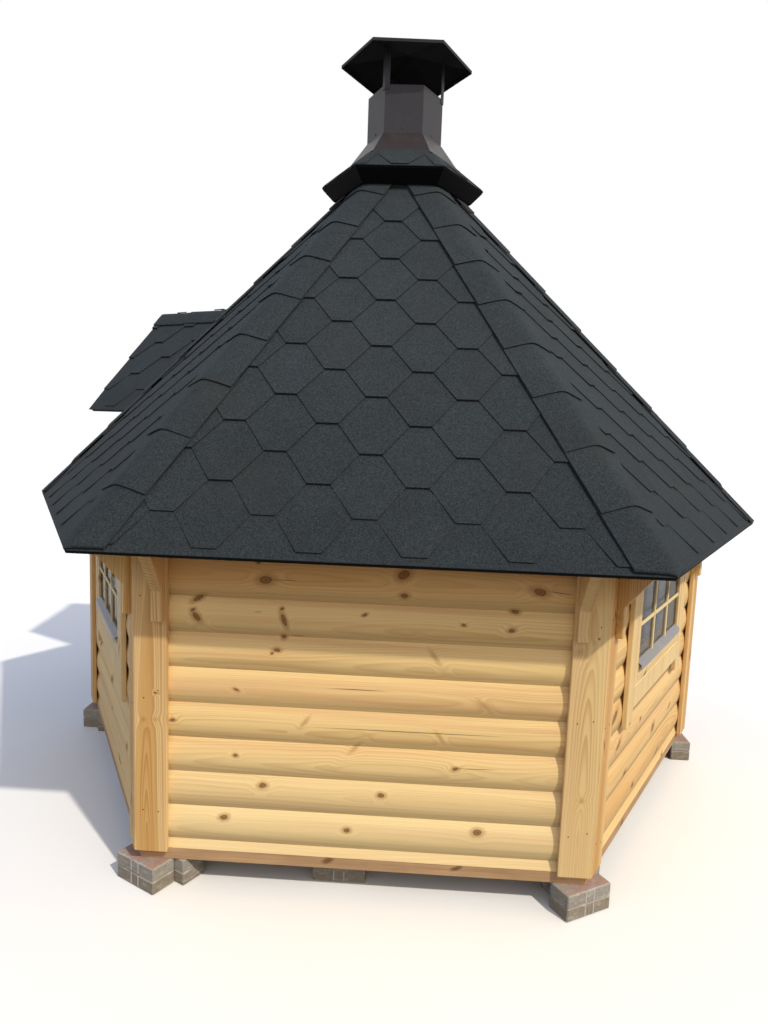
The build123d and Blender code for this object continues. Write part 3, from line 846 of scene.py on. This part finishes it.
for number, side_name in enumerate(side_names):
    parts = [[(Vector((hand * cheek_out, 0, 0)), Vector((-hand, 0, 0)))] for hand in (-1, 1)]
    strip = eave_strip(parts if side_name == "front" else [[]])
    add_piece(side_name + "_eave_strip", strip, [black_felt], number * sixth)

# %% [markdown]
# The dormer's two slopes carry the same shingles. They stop at the main roof, so a plane a little
# above that roof cuts them, and the ridge cuts the other end.

# %% Shingles on the dormer
dormer_slope = atan((dormer_ridge.z - dormer_edge.z) / dormer_half)
dormer_courses = courses_up(7)
dormer_reach = 2.0


def dormer_place(hand):
    """The map from across, up and off a dormer slope to the shared frame, and the slope's normal."""
    corner = Vector((hand * dormer_half, dormer_front, dormer_edge.z))
    up = Vector((-hand * cos(dormer_slope), 0, sin(dormer_slope)))
    off = Vector((hand * sin(dormer_slope), 0, cos(dormer_slope)))
    along = Vector((0, hand, 0))

    def place(across, upward, lift):
        return corner + along * across + up * upward + off * lift

    return place, off


main_roof_cut = (main_side.place(0, 0, sheet), -main_side.off)
dormer_verge = (Vector((0, dormer_front - drip, 0)), -backward)
for hand, name in ((-1, "dormer_left_shingles"), (1, "dormer_right_shingles")):
    place, off = dormer_place(hand)
    planes = [dormer_verge, main_roof_cut, (middle_point, Vector((-hand, 0, 0)))]
    add_shingles(name, shingle_field(place, off, dormer_courses, dormer_reach, planes))

# %% [markdown]
# Over each hip lie caps: pieces of shingle bent over the hip, each lapping the one below. Bent felt
# makes a soft fold, so a cap's section is a hyperbola: straight wings that meet in a small round.
# The caps start at the eave and every cap tips up a little where it laps the next.

# %% Hip and ridge caps
cap_exposure = 0.270
cap_length = 0.325
cap_half = 0.124
cap_round = 0.022
cap_sheet = 0.0045
cap_steps = 8
first_cap_hang = 0.05
hip_cap_lift = 0.010
ridge_cap_lift = 0.016
collar_reach = 0.36
hip_cap_drip = drip + 0.002
ridge_lap = 0.1


def cap_row(foot, along, above, fall, length, lift, planes, half=cap_half):
    """Caps along a line: from its foot, with the wings' fall, lifted off the line."""
    caps = bmesh.new()
    shade = shade_layer(caps)
    edge_drop = sqrt(half * half + cap_round * cap_round) - cap_round
    top_faces = []
    number = 0
    while number * cap_exposure < length:
        start = number * cap_exposure - (first_cap_hang if number == 0 else 0.0)
        end = number * cap_exposure + cap_length
        tone = chance.uniform(0.2, 0.9)
        twist = chance.uniform(-0.0015, 0.0015)
        rows = []
        for share in (0.0, 0.5, 1.0):
            tip = cap_sheet * (2.3 - 1.7 * share)
            row = []
            for step in range(-cap_steps, cap_steps + 1):
                out = half * step / cap_steps
                drop = sqrt(out * out + cap_round * cap_round) - cap_round - edge_drop + half
                height = lift + tip - drop * sin(fall) + twist * step / cap_steps
                point = foot + along * (start + (end - start) * share) + above * height
                row.append(caps.verts.new(point + Vector((out * cos(fall), 0, 0))))
            rows.append(row)
        for lower, upper in zip(rows, rows[1:]):
            for step in range(2 * cap_steps):
                face = caps.faces.new((lower[step], lower[step + 1], upper[step + 1], upper[step]))
                face[shade] = tone
                face.smooth = True
                top_faces.append(face)
        number += 1
    thicken(caps, top_faces, above, cap_sheet)
    cut(caps, planes)
    mark_tops(caps, above, 0.6)
    for edge in caps.edges:
        edge.smooth = edge.calc_face_angle(0.0) < radians(40)
    return caps


def hip_caps(side, length, lift, eave, planes=(), half=cap_half):
    """The caps on a hip that is turned to the front, cut at a distance out by the two eaves beside it."""
    ways = [Vector((hand * sin(half_corner), -cos(half_corner), 0)) for hand in (-1, 1)]
    cuts = [(way * eave, way) for way in ways] + list(planes)
    return cap_row(side.hip_foot, side.hip_along, side.hip_above, side.hip_fall, length, lift, cuts, half)


hip_length = (eave_side - collar_reach) / cos(main_side.hip_rise)
for number in range(6):
    caps = hip_caps(main_side, hip_length, hip_cap_lift, eave_out + hip_cap_drip)
    add_shingles("hip_caps_" + str(number), caps, half_corner + number * sixth)
ridge_foot = Vector((0, dormer_front - drip, dormer_ridge.z))
ridge_length = -dormer_front - valley_out + ridge_lap
ridge_caps = cap_row(ridge_foot, backward, Vector((0, 0, 1)), dormer_slope, ridge_length, ridge_cap_lift,
                     [dormer_verge, main_roof_cut])
add_shingles("dormer_ridge_caps", ridge_caps)

# %% [markdown]
# The collar round the chimney is the roof's last step. Its upper side carries one course of the same
# tabs, and small caps over its six corners.

# %% Collar shingles
collar_points = points_of("chimney_collar")
collar_out = max(point.y for point in collar_points)
collar_edge = max((point for point in collar_points if point.y > collar_out - 0.001), key=lambda p: p.z)
collar_top = max(collar_points, key=lambda point: point.z)
collar_inner = max(point.y for point in collar_points if point.z > collar_top.z - 0.001)
collar_pitch = atan((collar_top.z - collar_edge.z) / (collar_out - collar_inner))
collar_side = RoofSide(collar_out, collar_edge.z, collar_pitch)
skirt_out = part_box("chimney_skirt")[1].y
skirt_corner = skirt_out / cos(half_corner)
under_skirt = 0.004
collar_drip = 0.003
collar_flat = 0.006
collar_cap_half = 0.042
collar_cap_length = 0.10
collar_cap_lift = 0.001
collar_planes = hip_planes + [(Vector((0, under_skirt - skirt_out, 0)), backward)]
collar_cap_end = (Vector((0, under_skirt - skirt_corner, 0)), backward)
for number, side_name in enumerate(side_names):
    field = shingle_field(collar_side.place, collar_side.off, [(1, collar_flat)], collar_out, collar_planes,
                          hang=collar_drip, strip=exposure)
    add_shingles(side_name + "_collar_shingles", field, number * sixth)
    caps = hip_caps(collar_side, collar_cap_length, collar_cap_lift, collar_out + collar_drip,
                    [collar_cap_end], collar_cap_half)
    add_shingles("collar_caps_" + str(number), caps, half_corner + number * sixth)

# %% [markdown]
# The chimney and the window drips are painted sheet steel. Sheet is never quite flat or clean, so a
# slow noise moves its gloss and a fine one its colour. A pane is a thin dark film: its alpha says how much
# of the film one sees, and the rest lets the room show. The pavers are pressed concrete with a red face.

# %% Metal, glass and concrete
def steel_finish(name, colour, rough, worn, soot_and_painted_shade=0.0, shine=0.25):
    """Painted sheet steel with a little dust and uneven gloss, and soot with painted shade where it looks
    down.
    """
    material, paint = new_finish(name)
    where = place_of(paint)
    dust = noise(where, 14.0, 4.0, 0.6)
    fine = noise(where, 260.0, 2.0)
    coat = scaled(blend(dust.fade(0.45, 0.75) * 0.5, colour, worn), 0.86 + fine * 0.28)
    gloss = rough - 0.1 + dust * 0.2
    # Where a face looks down it goes near black: soot, and painted shade under the cap.
    if soot_and_painted_shade:
        below = (0 - split(facing_of(paint))[2]).fade(0.15, 0.6) * soot_and_painted_shade
        coat = blend(below, coat, (0.0022, 0.0022, 0.0022, 1))
        gloss = gloss + below * 0.45
    surface(paint, coat, gloss, shine, fine, 0.0004, 0.3, {"Metallic": 0.1})
    return material


chimney_steel = steel_finish("chimney_steel", (0.038, 0.036, 0.042, 1), 0.42, (0.054, 0.049, 0.052, 1))
skirt_steel = steel_finish("skirt_steel", (0.034, 0.028, 0.030, 1), 0.42, (0.050, 0.040, 0.038, 1))
cap_steel = steel_finish("cap_steel", (0.034, 0.032, 0.036, 1), 0.5, (0.050, 0.045, 0.046, 1), 0.97, 0.06)
drip_steel = steel_finish("drip_steel", (0.27, 0.265, 0.28, 1), 0.45, (0.36, 0.35, 0.36, 1))
door_steel = steel_finish("door_steel", (0.02, 0.02, 0.021, 1), 0.4, (0.05, 0.048, 0.046, 1))
dress(chimney_steel, "chimney_stack", "chimney_straps")
dress(skirt_steel, "chimney_skirt")
dress(cap_steel, "chimney_cap")
dress(drip_steel, "window_drips")
dress(door_steel, "door_hardware")


pane_film = (0.050, 0.052, 0.042, 1)


def glass_finish():
    """Window glass: thin dark panes that let most of the light through and mirror the rest."""
    material, paint = new_finish("pane_glass")
    where = place_of(paint)
    dust = noise(where, 5.0, 2.0)
    film = {"Alpha": 0.34 + dust * 0.06}
    waves = noise(where, 2.0, 1.0)
    surface(paint, pane_film, 0.02 + dust * 0.03, 0.5, waves, 0.004, 0.2, film)
    return material


dress(glass_finish(), *named("_glass"))
lime = (0.56, 0.53, 0.48, 1)
paver_seam = 0.051


def paver_finish():
    """Concrete block: red on top, grey at the sides, with streaks of lime that rain has washed out."""
    material, paint = new_finish("paver_concrete")
    where = place_of(paint)
    up = split(facing_of(paint))[2].fade(0.8, 0.95)
    x, y, height = split(where)
    grain = noise(where, 240.0, 3.0, 0.7)
    pits = noise(where, 85.0, 4.0, 0.65)
    cloud = noise(where, 13.0, 3.0)
    side = blend(height.fade(0.045, 0.055), (0.30, 0.255, 0.195, 1), (0.35, 0.32, 0.275, 1))
    top = blend(cloud.fade(0.4, 0.62), (0.39, 0.24, 0.19, 1), (0.33, 0.265, 0.225, 1))
    washed = noise(vector(x * 22, y * 22, height * 75), 1.0, 4.0, 0.65).fade(0.48, 0.72)
    seam = 1 - abs(height - paver_seam).fade(0.0, 0.009)
    colour = blend((washed * 0.55 + seam * 0.25) * (1 - up * 0.55), blend(up, side, top), lime)
    colour = scaled(colour, 0.22 + grain * 0.55 + pits * 0.75 + cloud * 0.25)
    surface(paint, colour, 0.85 + grain * 0.1, 0.25, grain * 0.5 + pits, 0.003, 0.7)
    return material


dress(paver_finish(), "pavers")
print("metal, glass and concrete ready")

# %% [markdown]
# Each window is a single pane with a grid of flat bars planted on it: two upright bars and one
# across, which makes six small panes. Planed bars have eased edges, which catch the light, so each
# bar is a block with its edges rounded, not a plain box.

# %% Window bars
bar_width = 0.015
bar_setback = 0.004
bar_step = 0.002
bar_lap = 0.012
bar_ease = 0.0018
bar_place = 0.12
window_sides = (1, 3, 5)


def eased_block(solid, low, high, ease):
    """Add a block between two corners with eased edges."""
    made = bmesh.ops.create_cube(solid, size=1.0)["verts"]
    size = [top - bottom for bottom, top in zip(low, high)]
    middle = [(top + bottom) / 2 for bottom, top in zip(low, high)]
    bmesh.ops.scale(solid, verts=made, vec=size)
    bmesh.ops.translate(solid, verts=made, vec=middle)
    edges = list({edge for vert in made for edge in vert.link_edges})
    bmesh.ops.bevel(solid, geom=edges, offset=ease, segments=2, affect="EDGES", profile=0.5)


def window_bars():
    """The grid of bars of the back window, drawn on the side that faces -Y."""
    low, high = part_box("back_window_glass")
    front = -wall_out + bar_setback
    behind = -high.y + 0.0005
    bars = bmesh.new()
    for place in (-bar_place, bar_place):
        eased_block(bars, (place - bar_width / 2, front, low.z - bar_lap),
                    (place + bar_width / 2, behind, high.z + bar_lap), bar_ease)
    middle = (low.z + high.z) / 2
    eased_block(bars, (low.x - bar_lap, front + bar_step, middle - bar_width / 2),
                (high.x + bar_lap, behind, middle + bar_width / 2), bar_ease)
    return bars


bar_pine = board_finish("bar_pine", bar_place, 17.5, 0.0, 0.04, 0.7, 0.03, 0.7)
for number in window_sides:
    add_piece(side_names[number] + "_window_bars", window_bars(), [bar_pine], number * sixth)

# %% [markdown]
# The door is a row of planks with eased edges, so that a small groove shows at every joint, and a bead
# round its light. The solid leaf is one block, and these planks stand in its place.

# %% Door planks
plank_width = 0.110
plank_ease = 0.003
plank_seed = 21.5
bead_width = 0.020
bead_proud = 0.010
bead_step = 0.0006
bead_lap = 0.001
bead_ease = 0.004


def plank_finish():
    """Upright pine, each plank from its own tree."""
    material, paint = new_finish("plank_pine")
    across, out, height, side = side_place(paint)
    plank = (across / plank_width + 0.5).floor()
    cross = across - plank * plank_width
    near = scattered_knots(height, cross, plank, side + plank_seed, 0.5, 0.010)
    luck = luck_of(plank, side, plank_seed)
    pine(paint, height, cross, wall_out - out, luck, near, None, 0.05, 0.6, 0.010, 0.12)
    return material


def door_planks():
    """Seven planks, the three in the middle cut round the light, and the light's bead."""
    low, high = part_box("door_leaf")
    light_low, light_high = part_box("door_glass")
    face = low.y + bead_proud
    planks = bmesh.new()
    for number in range(-3, 4):
        left = (number - 0.5) * plank_width
        runs = [(low.z, high.z)]
        if abs(number) < 2:
            runs = [(low.z, light_low.z), (light_high.z, high.z)]
        for bottom, top in runs:
            eased_block(planks, (left, face, bottom), (left + plank_width, high.y, top), plank_ease)
    inner = light_high.x
    behind = face + bead_lap
    foot = light_low.z - bead_width
    head = light_high.z + bead_width
    for hand in (-1, 1):
        left, right = sorted((hand * inner, hand * (inner + bead_width)))
        eased_block(planks, (left, low.y, foot), (right, behind, head), bead_ease)
    for bottom, top in ((foot, light_low.z), (light_high.z, head)):
        eased_block(planks, (-inner, low.y + bead_step, bottom), (inner, behind, top), bead_ease)
    return planks


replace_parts(add_piece("door_planks", door_planks(), [plank_finish()]), "door_leaf")

# %% [markdown]
# Sawn boards and pressed blocks never have knife-sharp edges: a plane or a mould takes them off, and
# the small slope catches the light. Each such solid is copied, its flat faces are made whole again,
# and its edges are bevelled by a few millimetres. The copy stands in the solid's own place.

# %% Eased edges
def whole_faces(name):
    """A copy of a CAD node, whose flat faces are whole again."""
    solid = bmesh.new()
    for polygon in nodes[name].data.polygons:
        corners = [nodes[name].data.vertices[number].co for number in polygon.vertices]
        solid.faces.new([solid.verts.new(corner) for corner in corners])
    bmesh.ops.remove_doubles(solid, verts=solid.verts[:], dist=0.00002)
    bmesh.ops.dissolve_limit(solid, angle_limit=radians(1), verts=solid.verts[:], edges=solid.edges[:])
    bmesh.ops.recalc_face_normals(solid, faces=solid.faces[:])
    return solid


def ease_edges(name, ease, steps=2):
    """A copy of a CAD node with eased edges, in the node's finish, which stands for the node."""
    solid = whole_faces(name)
    bmesh.ops.bevel(solid, geom=solid.edges[:], offset=ease, segments=steps, affect="EDGES", profile=0.5,
                    clamp_overlap=True)
    finish = nodes[name].material_slots[0].material
    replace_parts(add_piece(name + "_eased", solid, [finish]), name)


ease_edges("corner_boards", 0.003)
ease_edges("eave_brackets", 0.003)
ease_edges("sill_beams", 0.003)
ease_edges("pavers", 0.004, 1)
ease_edges("door_frame", 0.002)
ease_edges("door_casing", 0.003)
for number in window_sides:
    ease_edges(side_names[number] + "_window_frame", 0.002)
    ease_edges(side_names[number] + "_window_casing", 0.003)

# %% [markdown]
# A block paver has two upright ribs on each long side, which keep the sand joint open between
# neighbours. They are paler than the block. The long sides are found on
# the blocks themselves, so every rib sits on its block wherever that lies.

# %% Paver ribs
rib_apart = 0.019
rib_width = 0.006
rib_proud = 0.0016
rib_inset = 0.005
rib_sunk = 0.002
rib_ease = 0.0007
least_long_side = 0.15


def rib_finish():
    """Concrete that is pale with lime."""
    material, paint = new_finish("rib_concrete")
    grain = noise(place_of(paint), 160.0, 3.0, 0.7)
    surface(paint, scaled(lime, 0.55 + grain * 0.7), 0.85 + grain * 0.1, 0.5, grain, 0.002, 0.7)
    return material


def paver_ribs():
    """Two ribs on every long side of every block."""
    ribs = bmesh.new()
    blocks = whole_faces("pavers")
    for face in blocks.faces:
        heights = [vert.co.z for vert in face.verts]
        along = Vector((-face.normal.y, face.normal.x, 0))
        places = [vert.co.dot(along) for vert in face.verts]
        if abs(face.normal.z) > 0.1 or max(places) - min(places) < least_long_side:
            continue
        foot = min(heights) + rib_inset
        head = max(heights) - rib_inset
        middle = face.calc_center_median()
        turn = Matrix((along, -face.normal, Vector((0, 0, 1)))).transposed().to_4x4()
        for shift in (-rib_apart, rib_apart):
            rib = bmesh.new()
            low = (shift - rib_width / 2, -rib_proud, foot)
            high = (shift + rib_width / 2, rib_sunk, head)
            eased_block(rib, low, high, rib_ease)
            rib.transform(Matrix.Translation((middle.x, middle.y, 0)) @ turn)
            join(ribs, rib)
    blocks.free()
    return ribs


add_piece("paver_ribs", paver_ribs(), [rib_finish()])

# %% [markdown]
# Small heads hold it all together: nails in the corner boards, and screws in the chimney's sheet. Each
# head is turned from a short profile round its own axis, which gives a low dome with a rim.

# %% Nails and screws
head_profile = ((1.0, 0.0), (1.0, 0.16), (0.86, 0.30), (0.45, 0.42))
head_steps = 12
nail_radius = 0.0024
nail_insets = (0.030, 0.088)
skirt_screw_radius = 0.0060
skirt_screw_height = 0.020
strap_screw_radius = 0.0050
strap_screw_height = 0.011
strap_screw_inset = 0.010


def add_head(heads, place, out, radius):
    """Add a domed head on a face: its place, the way the face looks, and its radius."""
    turn = out.to_track_quat("Z", "Y")
    rings = []
    for reach, rise in head_profile:
        ring = []
        for step in range(head_steps):
            angle = step * radians(360) / head_steps
            point = Vector((reach * cos(angle), reach * sin(angle), rise)) * radius
            ring.append(heads.verts.new(place + turn @ point))
        rings.append(ring)
    for lower, upper in zip(rings, rings[1:]):
        for step in range(head_steps):
            after = (step + 1) % head_steps
            heads.faces.new((lower[step], lower[after], upper[after], upper[step]))
    heads.faces.new(rings[-1])
    heads.faces.new(rings[0][::-1])


def side_point(number, across, out, height):
    """A point on one of the six sides, and the way that side looks."""
    turn = Matrix.Rotation(number * sixth, 3, "Z")
    return turn @ Vector((across, -out, height)), turn @ Vector((0, -1, 0))


nails = bmesh.new()
nail_out = wall_out + 0.0001
for number in range(6):
    for hand in (-1, 1):
        for row in range(3):
            height = logs_foot + (3 * row + 0.9) * log_height + chance.uniform(-0.05, 0.05)
            for inset in nail_insets:
                across = hand * (wall_side / 2 - inset - chance.uniform(-0.008, 0.008))
                place, out = side_point(number, across, nail_out, height + chance.uniform(-0.02, 0.02))
                add_head(nails, place, out, nail_radius)
add_piece("board_nails", nails, [door_steel])

screws = bmesh.new()
stack_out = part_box("chimney_stack")[1].y
strap_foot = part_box("chimney_straps")[0].z
strap_thickness = 0.003
stack_half = stack_out * tan(half_corner)
skirt_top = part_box("chimney_skirt")[1].z
for number in range(6):
    place, out = side_point(number, 0.0, stack_out, skirt_top + skirt_screw_height)
    add_head(screws, place, out, skirt_screw_radius)
    strap_hand = 1 if number % 2 else -1
    across = strap_hand * (stack_half - strap_screw_inset)
    place, out = side_point(number, across, stack_out + strap_thickness, strap_foot + strap_screw_height)
    add_head(screws, place, out, strap_screw_radius)
add_piece("chimney_screws", screws, [chimney_steel])

# %% [markdown]
# The stage is a pale floor in a white surround. A sun with a wide disc stands to the right of the plain
# wall and casts the eave's shadow on the logs. The sky fills the shade: pale towards the sun and blue
# away from it, as skies are. The camera sees the surround as plain white, and stands where the
# photograph was taken: its place, turn, tilt and roll were worked out from the roof's corners.

# %% Stage, light and camera
sun_bearing = radians(162)
sun_height = radians(48)
floor_reach = 60.0
floor_shown = (0.90, 0.885, 0.86, 1)
floor_glow = (0.095, 0.088, 0.072, 1)
sky_blue = (0.36, 0.52, 0.84, 1)
sky_pale = (1.12, 1.02, 0.94, 1)
camera_place = (3.2728, 2.0832, 1.705)


def seen_directly(paint):
    """1 for what the camera sees, also in a mirror or through glass, and 0 for what only gives light."""
    rays = paint.add("LightPath")
    return (rays + rays.other(3) + rays.other(6)).least(1.0)


def make_floor():
    """A wide floor, pale to the camera, which throws no more light up than trodden ground."""
    material, paint = new_finish("studio_floor")
    cloud = noise(place_of(paint), 0.8, 2.0)
    pale = scaled(floor_shown, 0.97 + cloud * 0.06)
    colour = blend(seen_directly(paint), floor_glow, pale)
    surface(paint, colour, 0.9, 0.1)
    mesh = bpy.data.meshes.new("studio_floor")
    turns = ((-1, -1), (1, -1), (1, 1), (-1, 1))
    mesh.from_pydata([(x * floor_reach, y * floor_reach, 0) for x, y in turns], [], [(0, 1, 2, 3)])
    mesh.materials.append(material)
    floor = bpy.data.objects.new("studio_floor", mesh)
    bpy.context.scene.collection.objects.link(floor)


def make_light():
    """The sun, a sky that fills the shade, and the white surround that the camera sees instead."""
    lamp = bpy.data.lights.new("sun", "SUN")
    lamp.energy = 2.45
    lamp.angle = radians(1.6)
    lamp.color = (1.0, 0.945, 0.84)
    level = Vector((sin(sun_bearing), -cos(sun_bearing), 0))
    towards = level * cos(sun_height) + Vector((0, 0, sin(sun_height)))
    sun = bpy.data.objects.new("sun", lamp)
    sun.rotation_euler = (-towards).to_track_quat("-Z", "Y").to_euler()
    bpy.context.scene.collection.objects.link(sun)
    world = bpy.data.worlds.new("surround")
    world.use_nodes = True
    world.node_tree.nodes.clear()
    paint = Paint(world.node_tree)
    sunward = {0: paint.add("TexCoord", out=0), 1: level}
    sunny = paint.add("VectorMath", {"operation": "DOT_PRODUCT"}, sunward, 1).fade(-0.7, 0.9)
    sky = blend(sunny, sky_blue, sky_pale)
    fill = paint.add("Background", {}, {0: sky, 1: 0.9})
    white = paint.add("Background", {}, {0: (1, 1, 1, 1), 1: 1.0})
    mixed = paint.add("MixShader", {}, {0: seen_directly(paint), 1: fill, 2: white})
    paint.add("OutputWorld", {}, {0: mixed})
    bpy.context.scene.world = world


def make_camera():
    """The photograph's camera."""
    yaw = radians(120) + 0.0435
    pitch = -0.1193
    roll = 0.0375
    right = Vector((cos(yaw), sin(yaw), 0))
    flat = Vector((-sin(yaw), cos(yaw), 0))
    up = Vector((0, 0, 1))
    forward = flat * cos(pitch) + up * sin(pitch)
    upright = up * cos(pitch) - flat * sin(pitch)
    rolled_right = right * cos(roll) + upright * sin(roll)
    rolled_up = upright * cos(roll) - right * sin(roll)
    turn = Matrix((rolled_right, rolled_up, -forward)).transposed().to_4x4()
    lens = bpy.data.cameras.new("camera")
    lens.lens = 25.53
    lens.sensor_width = 36.0
    lens.shift_x = -0.0057
    lens.shift_y = 0.0032
    camera = bpy.data.objects.new("camera", lens)
    camera.matrix_world = Matrix.Translation(camera_place) @ turn
    bpy.context.scene.collection.objects.link(camera)
    bpy.context.scene.camera = camera


make_floor()
make_light()
make_camera()
bpy.context.scene.view_settings.view_transform = "Standard"
print("stage set")
